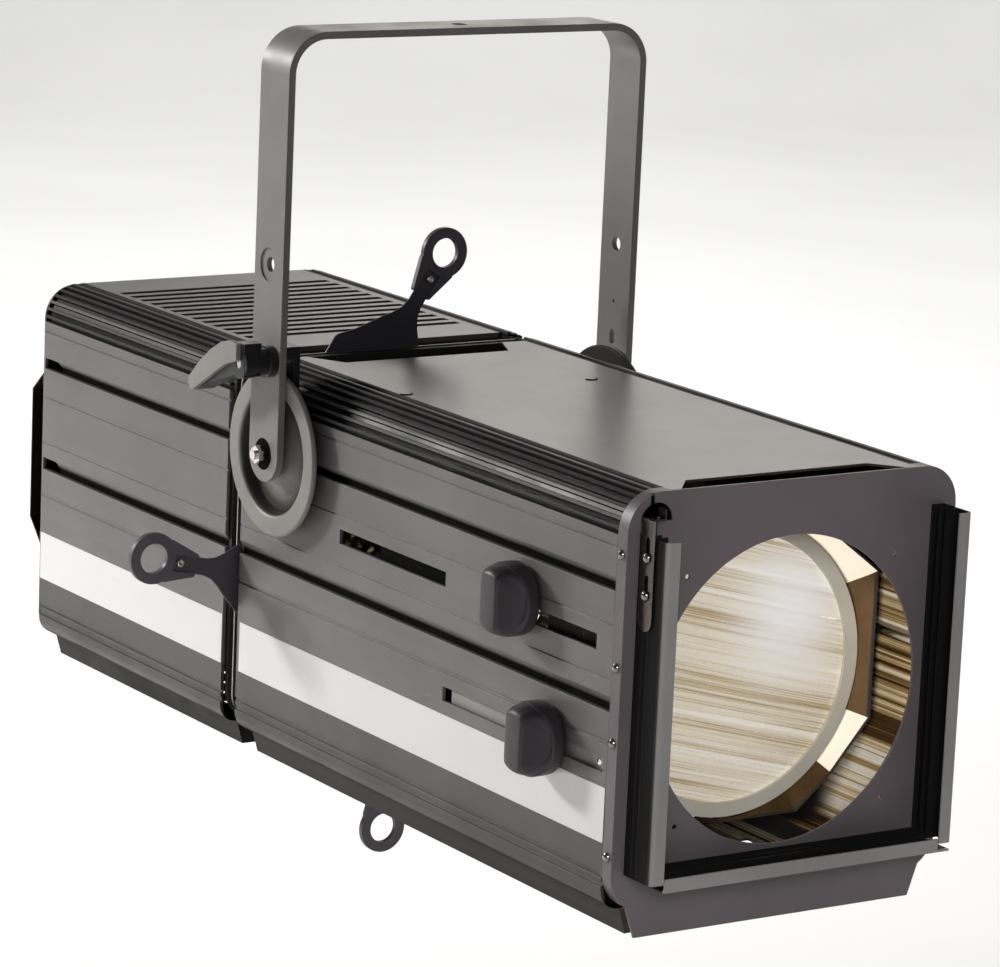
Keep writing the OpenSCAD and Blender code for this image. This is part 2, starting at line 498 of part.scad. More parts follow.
// Children are drawn with the ring at the origin and the blade towards +X
module shutter_frame(pin, dir, e) translate([pin[0], pin[1]]) rotate(dir) mirror([1, 0]) translate([-160 - e, 0]) children();
module blade(pin, dir, y0, e) slab(y0, y0 + blade_t) shutter_frame(pin, dir, e) difference() {
  polygon(concat([for (p = blade_half(e)) [p[0], p[1]]], [for (i = [9:-1:0]) [blade_half(e)[i][0], -blade_half(e)[i][1]]]));
  // guide slot that runs on the gate pin
  translate([103 + e, -3]) square([58, 6]);
  for (t = [103, 161]) translate([t + e, 0]) circle(r = 3);
  translate([26, 0]) circle(r = 1.6);
}
module handle(pin, dir, y0, y1, yb, e) difference() {
  union() {
    slab(y0, y1) shutter_frame(pin, dir, e) circle(r = ring_r, $fn = 96);
    slab(y0, y1) shutter_frame(pin, dir, e)
      polygon([[10, 17], [14, 18], [40, 9.8], [41.5, 8.6], [41.5, 7.4], [33, 7.4], [33, -7.4], [41.5, -7.4], [41.5, -8.6], [40, -9.8], [14, -18], [10, -17]]);
  }
  slab(y0 - 1, y1 + 1) shutter_frame(pin, dir, e) circle(r = ring_hole_r, $fn = 96);
  slab(y0 - 1, y1 + 1) shutter_frame(pin, dir, e) translate([26, 0]) circle(r = 1.6);
  // recess for the neck of the blade
  slab(y0 - 1, yb) shutter_frame(pin, dir, e) translate([19.5, -7.25]) square([40, 14.5]);
}
module shutter_blade_left() color([0.2, 0.19, 0.22]) O() blade(pin_l, dir_l, 567, 0);
module shutter_handle_left() color([0.3, 0.28, 0.32]) O() handle(pin_l, dir_l, 565.1, 570.1, 568.25, 0);
module shutter_pin_left() color([0.7, 0.7, 0.7]) O() ycyl(pin_l[0], pin_l[1], 2.95, 563.05, 569.2);
module shutter_blade_right() color([0.2, 0.19, 0.22]) O() blade(pin_r, dir_r, 570.4, 0);
module shutter_handle_right() color([0.3, 0.28, 0.32]) O() handle(pin_r, dir_r, 568.3, 572.9, 571.65, 0);
module shutter_pin_right() color([0.7, 0.7, 0.7]) O() ycyl(pin_r[0], pin_r[1], 2.95, 569.6, 573.7);
module shutter_blade_top() color([0.2, 0.19, 0.22]) O() blade(pin_t, dir_t, 576.2, 0);
module shutter_handle_top() color([0.3, 0.28, 0.32]) O() handle(pin_t, dir_t, 574.6, 579.3, 577.45, 0);
module shutter_pin_top() color([0.7, 0.7, 0.7]) O() ycyl(pin_t[0], pin_t[1], 2.95, 573.85, 578.4);
module shutter_blade_bottom() color([0.2, 0.19, 0.22]) O() blade(pin_b, dir_b, 579.4, 35);
module shutter_pin_bottom() color([0.7, 0.7, 0.7]) O() ycyl(pin_b[0], pin_b[1], 2.95, 578.6, 583.95);
module shutter_handle_bottom() color([0.3, 0.28, 0.32]) O() handle(pin_b, dir_b, 577.4, 581.9, 580.65, 35);

yoke_bar();
pivot_bushes();
clamp_stud();
clamp_jaw();
clamp_lever_hub();
clamp_lever_plate();
pivot_bolts();
pivot_nuts();
tilt_discs();
rear_side_left();
rear_side_right();
rear_top_grille();
rear_bottom_box();
front_side_left();
front_side_right();
front_top_cover();
front_bottom_box();
front_cap();
frame_runner_left();
frame_runner_right();
frame_runner_bottom();
front_screws();
gate_front_plate();
gate_divider();
gate_rear_plate();
gate_spacers();
guide_rods();
reflector();
reflector_bracket();
door_hinge_pin();
cable_gland();
rear_door();
rear_baffle();
lamp_carriage();
lampholder();
lamp();
lamp_adjust_knob();
front_lens_carrier();
front_lens();
front_lens_ring();
front_lens_rail();
rear_lens_carrier();
rear_lens();
rear_lens_ring();
rear_lens_rail();
focus_knob();
zoom_knob();
frame_latch();
shutter_blade_left();
shutter_handle_left();
shutter_pin_left();
shutter_blade_top();
shutter_handle_top();
shutter_pin_top();
shutter_blade_right();
shutter_handle_right();
shutter_pin_right();
shutter_blade_bottom();
shutter_handle_bottom();
shutter_pin_bottom();
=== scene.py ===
import bpy, bmesh, json, math
from mathutils import Vector, Matrix, Quaternion

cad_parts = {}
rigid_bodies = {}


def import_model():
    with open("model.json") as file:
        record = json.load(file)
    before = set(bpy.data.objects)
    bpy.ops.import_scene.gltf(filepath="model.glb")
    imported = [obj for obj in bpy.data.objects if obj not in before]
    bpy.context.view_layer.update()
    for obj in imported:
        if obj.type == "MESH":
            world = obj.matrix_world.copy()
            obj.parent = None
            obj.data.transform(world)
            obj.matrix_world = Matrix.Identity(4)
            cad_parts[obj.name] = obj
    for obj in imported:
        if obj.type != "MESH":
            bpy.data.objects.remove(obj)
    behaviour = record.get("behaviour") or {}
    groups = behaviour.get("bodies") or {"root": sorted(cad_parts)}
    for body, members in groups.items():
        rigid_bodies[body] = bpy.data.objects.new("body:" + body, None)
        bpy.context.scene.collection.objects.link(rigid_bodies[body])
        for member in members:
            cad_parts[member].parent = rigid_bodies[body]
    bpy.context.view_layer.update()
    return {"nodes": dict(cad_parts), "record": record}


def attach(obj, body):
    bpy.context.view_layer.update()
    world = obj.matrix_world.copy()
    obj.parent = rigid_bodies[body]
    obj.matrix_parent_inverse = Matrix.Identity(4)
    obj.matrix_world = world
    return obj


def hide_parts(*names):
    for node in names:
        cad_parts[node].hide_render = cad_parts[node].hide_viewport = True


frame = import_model()
NODES = frame["nodes"]
SLOT_OF = {s["node"]: s["material_slot"] for s in frame["record"]["subparts"]}


def P(x, y, z):
    """A point of the optical frame, in millimetres, as a point of the row frame in metres."""
    return Vector((x / 1000, (y - 492) / 1000, (z - 439) / 1000))


# ------------------------------------------------------------------ materials
class Graph:
    """A short way to write shader nodes."""

    def __init__(self, name):
        self.mat = bpy.data.materials.new(name)
        self.mat.use_nodes = True
        self.nt = self.mat.node_tree
        self.nt.nodes.clear()
        self.out = self.nt.nodes.new("ShaderNodeOutputMaterial")
        self.tc = self.nt.nodes.new("ShaderNodeTexCoord")
        self.obj = self.tc.outputs["Object"]
        self.nrm = self.tc.outputs["Normal"]

    def new(self, kind, ins=None, **props):
        n = self.nt.nodes.new(kind)
        for k, v in props.items():
            setattr(n, k, v)
        for k, v in (ins or {}).items():
            self.put(n.inputs[k], v)
        return n

    def put(self, socket, v):
        if isinstance(v, bpy.types.NodeSocket):
            self.nt.links.new(v, socket)
        elif isinstance(v, (tuple, list)) and socket.type == "RGBA" and len(v) == 3:
            socket.default_value = (*v, 1)
        else:
            socket.default_value = v

    def math(self, op, a, b=None, c=None, clamp=False):
        n = self.new("ShaderNodeMath", operation=op, use_clamp=clamp)
        self.put(n.inputs[0], a)
        if b is not None:
            self.put(n.inputs[1], b)
        if c is not None:
            self.put(n.inputs[2], c)
        return n.outputs[0]

    def scaled(self, sx, sy, sz, src=None):
        n = self.new("ShaderNodeMapping", {"Scale": (sx, sy, sz)})
        self.put(n.inputs["Vector"], src or self.obj)
        return n.outputs[0]

    def noise(self, scale, detail=4.0, rough=0.55, vec=None, lac=2.0):
        n = self.new("ShaderNodeTexNoise", {"Scale": scale, "Detail": detail, "Roughness": rough, "Lacunarity": lac})
        self.put(n.inputs["Vector"], vec or self.obj)
        return n.outputs["Fac"]

    def ramp(self, fac, lo, hi, a=0.0, b=1.0, smooth=True):
        n = self.new("ShaderNodeMapRange", {"From Min": lo, "From Max": hi, "To Min": a, "To Max": b},
                     interpolation_type="SMOOTHSTEP" if smooth else "LINEAR")
        self.put(n.inputs["Value"], fac)
        return n.outputs[0]

    def mix(self, fac, a, b, blend="MIX"):
        n = self.new("ShaderNodeMix", data_type="RGBA", blend_type=blend)
        self.put(n.inputs[0], fac)
        self.put(n.inputs[6], a)
        self.put(n.inputs[7], b)
        return n.outputs[2]

    def fmix(self, fac, a, b):
        n = self.new("ShaderNodeMix", data_type="FLOAT")
        self.put(n.inputs[0], fac)
        self.put(n.inputs[2], a)
        self.put(n.inputs[3], b)
        return n.outputs[0]

    def xyz(self, src=None):
        n = self.new("ShaderNodeSeparateXYZ")
        self.put(n.inputs[0], src or self.obj)
        return n.outputs

    def edge(self, radius=0.0009):
        """1 on a sharp edge, 0 on a flat face."""
        bev = self.new("ShaderNodeBevel", {"Radius": radius}, samples=4)
        geo = self.new("ShaderNodeNewGeometry")
        dot = self.new("ShaderNodeVectorMath", operation="DOT_PRODUCT")
        self.put(dot.inputs[0], bev.outputs[0])
        self.put(dot.inputs[1], geo.outputs["Normal"])
        return self.math("SUBTRACT", 1.0, dot.outputs["Value"], clamp=True)

    def soft_normal(self, radius=0.0006):
        return self.new("ShaderNodeBevel", {"Radius": radius}, samples=4).outputs[0]

    def bump(self, height, strength, distance, normal=None):
        n = self.new("ShaderNodeBump", {"Strength": strength, "Distance": distance})
        self.put(n.inputs["Height"], height)
        if normal is not None:
            self.put(n.inputs["Normal"], normal)
        return n.outputs[0]

    def shader(self, **ins):
        names = {"color": "Base Color", "metal": "Metallic", "rough": "Roughness", "normal": "Normal", "coat": "Coat Weight",
                 "coat_rough": "Coat Roughness", "spec": "Specular IOR Level", "trans": "Transmission Weight", "ior": "IOR",
                 "aniso": "Anisotropic", "emit": "Emission Color", "emit_s": "Emission Strength", "alpha": "Alpha",
                 "sss": "Subsurface Weight", "sheen": "Sheen Weight", "coat_tint": "Coat Tint"}
        n = self.new("ShaderNodeBsdfPrincipled", {names[k]: v for k, v in ins.items()})
        return n

    def end(self, shader):
        self.put(self.out.inputs[0], shader.outputs[0] if not isinstance(shader, bpy.types.NodeSocket) else shader)
        return self.mat


def shade(c, k):
    return tuple(min(1, x * k) for x in c)


def painted(name, color, rough=0.42, grain=0.35, wear=0.6, lines=0.0, axis="y", worn=(0.42, 0.40, 0.38), gloss=0.5, dust=0.12, tone=0.10, edge_r=0.0008, shade_by=None, cloudy=1.0):
    """Satin paint on metal: fine powder grain, cloudy tone, rubbed edges, faint dust, and drawn lines along one axis."""
    g = Graph(name)
    cloud = g.noise(7, 5, 0.6)
    fine = g.noise(1400, 2, 0.5)
    sc = {"x": (2, 260, 260), "y": (260, 2, 260), "z": (260, 260, 2)}[axis]
    drawn = g.noise(1.0, 3, 0.6, g.scaled(*sc))
    col = g.mix(g.ramp(cloud, 0.3, 0.7), shade(color, 1 - tone), shade(color, 1 + tone))
    col = g.mix(g.math("MULTIPLY", g.ramp(drawn, 0.35, 0.75), 0.30 * lines), col, shade(color, 1.35))
    # dust gathers on what faces up
    up = g.ramp(g.xyz(g.nrm)[2], 0.35, 1.0)
    d = g.math("MULTIPLY", g.math("MULTIPLY", up, g.ramp(g.noise(38, 6, 0.7), 0.42, 0.8)), dust)
    col = g.mix(d, col, (0.42, 0.40, 0.37))
    # rubbed edges and a few small chips
    e = g.edge(edge_r)
    spots = g.ramp(g.noise(160, 5, 0.65), 0.46, 0.66)
    rub = g.math("MULTIPLY", g.math("MULTIPLY", g.ramp(e, 0.02, 0.20), g.math("ADD", spots, 0.22)), wear, clamp=True)
    col = g.mix(rub, col, worn)
    # painted shade: shade_by darkens the colour where shade falls
    if shade_by:
        k = shade_by(g)
        col = g.mix(1.0, col, g.new("ShaderNodeCombineXYZ", {0: k, 1: k, 2: k}).outputs[0], "MULTIPLY")
    r = g.fmix(g.ramp(g.noise(22, 5, 0.6), 0.3, 0.7), rough - 0.05 * cloudy, rough + 0.07 * cloudy)
    r = g.math("ADD", r, g.math("MULTIPLY", g.math("SUBTRACT", drawn, 0.5), 0.35 * lines))
    r = g.fmix(rub, r, 0.34)
    n = g.soft_normal(0.0005)
    n = g.bump(drawn, 0.25 * lines, 0.0004, n) if lines else n
    n = g.bump(fine, grain, 0.00012, n)
    # painted shade: the same factor takes gloss away where the shade is painted
    if shade_by:
        gloss = g.math("MULTIPLY", k, gloss)
    return g.end(g.shader(color=col, rough=r, metal=g.math("MULTIPLY", rub, 0.8), normal=n, spec=gloss))


def metal(name, color, rough=0.25, axis=None, streak=0.6, stain=0.25, tint=(0.30, 0.25, 0.20)):
    """Bare metal: brushed or drawn lines, uneven polish and light tarnish."""
    g = Graph(name)
    sc = {"x": (4, 900, 900), "y": (900, 4, 900), "z": (900, 900, 4), None: (300, 300, 300)}[axis]
    br = g.noise(1.0, 3, 0.6, g.scaled(*sc))
    wide = g.noise(1.0, 4, 0.6, g.scaled(*[s / 12 for s in sc]))
    t = g.ramp(g.noise(55, 6, 0.7), 0.45, 0.8)
    col = g.mix(g.math("MULTIPLY", t, stain), color, tint)
    col = g.mix(g.math("MULTIPLY", g.ramp(wide, 0.3, 0.7), 0.35 * streak), col, shade(color, 0.6))
    r = g.math("ADD", rough, g.math("MULTIPLY", g.math("SUBTRACT", br, 0.5), 0.4 * streak))
    r = g.math("ADD", r, g.math("MULTIPLY", t, 0.12), clamp=True)
    n = g.bump(br, 0.22 * streak, 0.00025, g.soft_normal(0.0004))
    return g.end(g.shader(color=col, rough=r, metal=1.0, normal=n))


def plastic(name, color, rough=0.5, grain=0.4, wear=0.25, tone=0.12, scale=900):
    g = Graph(name)
    leather = g.noise(scale, 3, 0.6)
    cloud = g.noise(30, 5, 0.65)
    e = g.math("MULTIPLY", g.ramp(g.edge(0.0012), 0.02, 0.3), wear)
    col = g.mix(g.ramp(cloud, 0.3, 0.7), shade(color, 1 - tone), shade(color, 1 + tone))
    col = g.mix(e, col, shade(color, 2.2))
    dust = g.math("MULTIPLY", g.ramp(g.xyz(g.nrm)[2], 0.3, 1.0), g.math("MULTIPLY", g.ramp(g.noise(60, 6, 0.7), 0.45, 0.8), 0.18))
    col = g.mix(dust, col, (0.34, 0.32, 0.30))
    r = g.fmix(g.ramp(cloud, 0.3, 0.7), rough - 0.06, rough + 0.08)
    n = g.bump(leather, grain, 0.0002, g.soft_normal(0.0008))
    return g.end(g.shader(color=col, rough=r, normal=n, spec=0.45))


def housing_shell():
    """Anthracite paint outside, bare warm aluminium inside near the mouth and painted black as shade further in, on one
    extruded wall.
    """
    g = Graph("housing_paint")
    c = (0.168, 0.156, 0.156)
    drawn = g.noise(1.0, 4, 0.6, g.scaled(330, 1.3, 330))
    broad = g.noise(1.0, 3, 0.5, g.scaled(60, 0.8, 60))
    cloud = g.noise(6, 5, 0.6)
    col = g.mix(g.ramp(cloud, 0.3, 0.7), shade(c, 0.93), shade(c, 1.07))
    col = g.mix(g.math("MULTIPLY", g.ramp(broad, 0.35, 0.7), 0.35), col, shade(c, 1.16))
    e = g.edge(0.0008)
    spots = g.ramp(g.noise(140, 5, 0.65), 0.48, 0.66)
    rub = g.math("MULTIPLY", g.math("MULTIPLY", g.ramp(e, 0.03, 0.2), g.math("ADD", spots, 0.12)), 0.5, clamp=True)
    col = g.mix(rub, col, (0.42, 0.40, 0.38))
    scr = g.math("MULTIPLY", g.ramp(g.noise(1.0, 2, 0.5, g.scaled(900, 14, 260)), 0.70, 0.76), g.ramp(g.noise(9, 2), 0.55, 0.7))
    col = g.mix(g.math("MULTIPLY", scr, 0.35), col, (0.36, 0.35, 0.34))
    r = g.fmix(g.ramp(g.noise(18, 5, 0.6), 0.3, 0.7), 0.36, 0.46)
    r = g.math("ADD", r, g.math("MULTIPLY", g.math("SUBTRACT", drawn, 0.5), 0.16))
    n = g.bump(drawn, 0.16, 0.0003, g.soft_normal(0.0005))
    n = g.bump(g.noise(1500, 2, 0.5), 0.22, 0.0001, n)
    p = g.xyz()
    nn = g.xyz(g.nrm)
    zr = g.math("ADD", p[2], 0.439)
    ax = g.math("ABSOLUTE", p[0])
    # painted shade in the grooves and between the corner fins: darker colour and less gloss there
    up1 = g.math("SUBTRACT", ax, 0.120)
    up2 = g.math("SUBTRACT", zr, 0.131)
    rho = g.math("SQRT", g.math("ADD", g.math("MULTIPLY", up1, up1), g.math("MULTIPLY", up2, up2)))
    fins = g.math("MULTIPLY", g.math("GREATER_THAN", ax, 0.1155), g.math("GREATER_THAN", zr, 0.1287))
    root = g.ramp(rho, 0.0272, 0.0301, 0.02, 0.36, False)
    groove_shade_k = g.ramp(ax, 0.1446, 0.1486, 0.03, 1.0)
    k = g.fmix(fins, groove_shade_k, root)
    # painted shade: the wall below the label stripe darker towards the bottom
    k = g.math("MULTIPLY", k, g.math("ADD", g.math("MULTIPLY", g.ramp(zr, -0.152, -0.106, 0.22, 0.46), g.math("LESS_THAN", zr, -0.1045)), g.math("GREATER_THAN", zr, -0.1045)))
    col = g.mix(1.0, col, g.new("ShaderNodeCombineXYZ", {0: k, 1: k, 2: k}).outputs[0], "MULTIPLY")
    outer = g.shader(color=col, rough=r, normal=n, spec=g.fmix(fins, g.math("MULTIPLY", groove_shade_k, 0.5), 0.16))
    # inside: faces that look at the optical axis
    d = g.math("ADD", g.math("MULTIPLY", p[0], nn[0]), g.math("MULTIPLY", zr, nn[2]))
    facing = g.math("LESS_THAN", d, -0.02)
    deep = g.math("LESS_THAN", ax, 0.1478)
    corner = g.math("MULTIPLY", g.math("GREATER_THAN", ax, 0.120), g.math("GREATER_THAN", zr, 0.131))
    inside = g.math("MULTIPLY", g.math("MULTIPLY", facing, deep), g.math("SUBTRACT", 1.0, corner))
    yo = g.math("ADD", p[1], 0.492)
    # painted light and shade inside: bare gold only near the mouth, below the top and off the bottom-left; painted
    # black as shade elsewhere
    lit = g.math("MULTIPLY", g.ramp(yo, 0.115, 0.150, 1.0, 0.0), g.math("MULTIPLY", g.math("LESS_THAN", zr, 0.121), g.math("MAXIMUM", g.math("GREATER_THAN", zr, -0.121), g.math("GREATER_THAN", p[0], -0.10))))
    black = g.shader(color=(0.010, 0.0095, 0.009), rough=0.6, spec=0.1)
    bare = g.new("ShaderNodeMixShader", {0: lit, 1: black.outputs[0], 2: gold(g).outputs[0]})
    return g.end(g.new("ShaderNodeMixShader", {0: inside, 1: outer.outputs[0], 2: bare.outputs[0]}))


def gold(g, color=(0.86, 0.73, 0.50), rough=0.24):
    """Passivated bare aluminium, warm, with ribs and drawn lines along the tube; dark brown in the rib hollows as
    painted shade and near white on the rib crests as painted highlight.
    """
    rib = g.noise(1.0, 2, 0.5, g.scaled(58, 0.35, 58))
    bars = g.noise(1.0, 3, 0.7, g.scaled(270, 0.5, 270))
    fine = g.noise(1.0, 3, 0.6, g.scaled(1100, 3, 1100))
    m = g.math("ADD", g.math("MULTIPLY", rib, 0.55), g.math("MULTIPLY", bars, 0.45))
    # painted shade in the rib hollows and painted highlight on the rib crests
    col = g.mix(g.ramp(m, 0.435, 0.50), (0.075, 0.038, 0.012), (0.46, 0.32, 0.14))
    col = g.mix(g.ramp(m, 0.495, 0.535), col, color)
    col = g.mix(g.ramp(m, 0.530, 0.555), col, (1.0, 0.97, 0.90))
    n = g.bump(m, 0.6, 0.004)
    n = g.bump(fine, 0.25, 0.0004, n)
    r = g.math("ADD", rough, g.math("MULTIPLY", g.math("SUBTRACT", fine, 0.5), 0.25))
    return g.shader(color=col, rough=r, metal=0.55, normal=n)


def glass_lens():
    """Coated lens painted full of warm light: a painted glow, fine straight streaks of painted reflection from the ribs
    of the tube, a painted highlight on the upper right, dust specks, and a clear glassy skin.
    """
    g = Graph("lens_glass")
    rot = g.new("ShaderNodeMapping", {"Rotation": (0.0, -0.26, 0.0)})
    g.put(rot.inputs["Vector"], g.obj)
    v = rot.outputs[0]
    # painted reflection: straight streaks of the tube's ribs
    wide = g.noise(1.0, 2, 0.5, g.scaled(1.2, 0.0, 42, v))
    mid = g.noise(1.0, 3, 0.75, g.scaled(1.6, 0.0, 240, v))
    fine = g.noise(1.0, 3, 0.7, g.scaled(4, 0.0, 900, v))
    m = g.math("ADD", g.math("ADD", g.math("MULTIPLY", wide, 0.34), g.math("MULTIPLY", mid, 0.33)), g.math("MULTIPLY", fine, 0.33))
    p = g.xyz(v)
    low = g.ramp(p[2], -0.535, -0.36, 1.0, 0.0)
    col = g.mix(g.ramp(m, 0.42, 0.515), (0.40, 0.29, 0.13), (0.80, 0.735, 0.60))
    col = g.mix(g.ramp(m, 0.525, 0.575), col, (0.98, 0.965, 0.93))
    grainy = g.noise(1.0, 4, 0.8, g.scaled(260, 0.0, 420, v))
    speck = g.math("MULTIPLY", g.ramp(grainy, 0.55, 0.72), g.math("ADD", 0.25, g.math("MULTIPLY", low, 0.55)))
    col = g.mix(g.math("MULTIPLY", g.ramp(grainy, 0.30, 0.48, 1.0, 0.0), 0.35), col, (0.50, 0.41, 0.25))
    col = g.mix(speck, col, (1.0, 0.98, 0.93))
    q = g.xyz()
    # painted highlight on the upper right of the lens
    halo = g.ramp(g.math("SQRT", g.math("ADD", g.math("POWER", g.math("SUBTRACT", q[0], 0.052), 2.0), g.math("POWER", g.math("ADD", q[2], 0.400), 2.0))), 0.0, 0.085, 0.85, 0.0)
    col = g.mix(halo, col, (0.97, 0.965, 1.0))
    # painted glow: the veil emits its own colour
    veil = g.shader(color=col, rough=0.5, emit=col, emit_s=0.50, spec=0.3, normal=g.bump(m, 0.05, 0.0008), coat=0.7, coat_rough=0.03)
    clear = g.shader(color=(1.0, 0.985, 0.94), rough=0.015, trans=1.0, ior=1.5)
    return g.end(g.new("ShaderNodeMixShader", {0: 0.88, 1: clear.outputs[0], 2: veil.outputs[0]}))


def quartz():
    g = Graph("quartz")
    n = g.bump(g.noise(60, 3), 0.05, 0.001)
    smoke = g.mix(g.ramp(g.noise(30, 4), 0.4, 0.8), (1, 1, 1), (0.86, 0.84, 0.80))
    return g.end(g.shader(color=smoke, rough=0.03, trans=0.95, ior=1.46, normal=n))


def reflector_skin():
    g = Graph("reflector_metal")
    v = g.new("ShaderNodeTexVoronoi", {"Scale": 85.0, "Randomness": 0.25})
    g.put(v.inputs["Vector"], g.obj)
    col = g.mix(g.ramp(g.noise(14, 4), 0.35, 0.7), (0.90, 0.87, 0.78), (0.78, 0.72, 0.58))
    n = g.bump(v.outputs["Distance"], 0.35, 0.002)
    return g.end(g.shader(color=col, rough=0.10, metal=1.0, normal=n))


def ceramic():
    g = Graph("ceramic")
    col = g.mix(g.ramp(g.noise(25, 5), 0.4, 0.7), (0.86, 0.83, 0.76), (0.70, 0.64, 0.54))
    n = g.bump(g.noise(700, 3), 0.12, 0.0003, g.soft_normal(0.0008))
    return g.end(g.shader(color=col, rough=0.34, normal=n, coat=0.3, coat_rough=0.2))


def vinyl():
    g = Graph("label_vinyl")
    yell = g.ramp(g.noise(5, 5, 0.6), 0.35, 0.75)
    col = g.mix(yell, (0.90, 0.895, 0.90), (0.86, 0.85, 0.84))
    grime = g.math("MULTIPLY", g.ramp(g.noise(1.0, 5, 0.7, g.scaled(60, 12, 60)), 0.60, 0.85), 0.25)
    col = g.mix(grime, col, (0.55, 0.52, 0.48))
    n = g.bump(g.noise(260, 3), 0.10, 0.0003)
    return g.end(g.shader(color=col, rough=0.32, normal=n, spec=0.5, coat=0.15, coat_rough=0.12))


def carrier_gold_mat():
    g = Graph("carrier_gold")
    fine = g.noise(900, 3, 0.6)
    cl = g.noise(24, 5, 0.7)
    col = g.mix(g.ramp(cl, 0.3, 0.75), (0.135, 0.080, 0.036), (0.085, 0.048, 0.020))
    p, nn = g.xyz(), g.xyz(g.nrm)
    ax = g.math("ABSOLUTE", p[0])
    # painted shade: the outer flange and the plate behind the collar go near black and lose their metal
    plate = g.math("MULTIPLY", g.math("GREATER_THAN", ax, 0.112), g.math("GREATER_THAN", p[1], 0.0797 - 0.492))
    out = g.math("MAXIMUM", g.math("GREATER_THAN", ax, 0.1275), plate)
    col = g.mix(out, col, (0.012, 0.011, 0.010))
    n = g.bump(fine, 0.35, 0.0003, g.soft_normal(0.0005))
    return g.end(g.shader(color=col, rough=0.30, metal=g.math("MULTIPLY", g.math("SUBTRACT", 1.0, out), 0.7), normal=n))


def rear_glass():
    """The rear lens: clear glass with dust, dark against the tube."""
    g = Graph("rear_lens_glass")
    dust = g.ramp(g.noise(340, 4, 0.7), 0.55, 0.80)
    clear = g.shader(color=(0.90, 0.90, 0.84), rough=g.math("MULTIPLY", dust, 0.25), trans=1.0, ior=1.5, spec=0.1)
    return g.end(clear)


def lined_black():
    """Black bottom box, bare warm metal on its floor behind the mouth, painted black as shade further in."""
    g = Graph("lined_black")
    fine = g.noise(1400, 2, 0.5)
    cloud = g.noise(9, 5, 0.6)
    col = g.mix(g.ramp(cloud, 0.3, 0.7), (0.011, 0.0105, 0.010), (0.017, 0.016, 0.016))
    rub = g.math("MULTIPLY", g.math("MULTIPLY", g.ramp(g.edge(0.0008), 0.02, 0.2), g.math("ADD", g.ramp(g.noise(160, 5, 0.65), 0.46, 0.66), 0.2)), 0.35, clamp=True)
    col = g.mix(rub, col, (0.30, 0.29, 0.28))
    drawn = g.noise(1.0, 3, 0.6, g.scaled(300, 1.2, 300))
    col = g.mix(g.math("MULTIPLY", g.ramp(drawn, 0.48, 0.62), 0.45), col, (0.024, 0.0225, 0.022))
    black = g.shader(color=col, rough=0.48, spec=0.16, normal=g.bump(fine, 0.3, 0.00012, g.soft_normal(0.0005)))
    p, nn = g.xyz(), g.xyz(g.nrm)
    floor = g.math("MULTIPLY", g.math("GREATER_THAN", nn[2], 0.3), g.math("LESS_THAN", g.math("ABSOLUTE", p[0]), 0.134))
    # painted light and shade: the floor is bare gold only near the mouth, painted black further in
    near = g.ramp(g.math("ADD", p[1], 0.492), 0.26, 0.32, 1.0, 0.0)
    return g.end(g.new("ShaderNodeMixShader", {0: g.math("MULTIPLY", floor, near), 1: black.outputs[0], 2: gold(g).outputs[0]}))


def disc_shade(g):
    """Painted shade in the disc's bowl, deepest beside the rim, and on the disc faces turned inwards to the housing."""
    p = g.xyz()
    rr = g.math("SQRT", g.math("ADD", g.math("POWER", p[1], 2.0), g.math("POWER", g.math("ADD", p[2], 0.344), 2.0)))
    bowl = g.ramp(rr, 0.030, 0.0485, 0.62, 0.12)
    k = g.fmix(g.ramp(rr, 0.0498, 0.0525), bowl, 0.88)
    # painted shade on the inward faces
    inner = g.math("LESS_THAN", g.math("MULTIPLY", p[0], g.xyz(g.nrm)[0]), 0.0)
    return g.fmix(inner, k, 0.16)


def runner_shade(g):
    """Painted shade inside the runner's channels and down its outer web, plain on its front lip."""
    p = g.xyz()
    k = g.ramp(p[1], -0.5255, -0.5235, 1.0, 0.05)
    bars = g.ramp(g.noise(1.0, 2, 0.5, g.scaled(0, 330, 0)), 0.52, 0.60, 0.0, 0.10)
    web = g.math("GREATER_THAN", g.math("ABSOLUTE", p[0]), 0.1385)
    return g.math("MAXIMUM", k, g.math("MULTIPLY", web, bars))


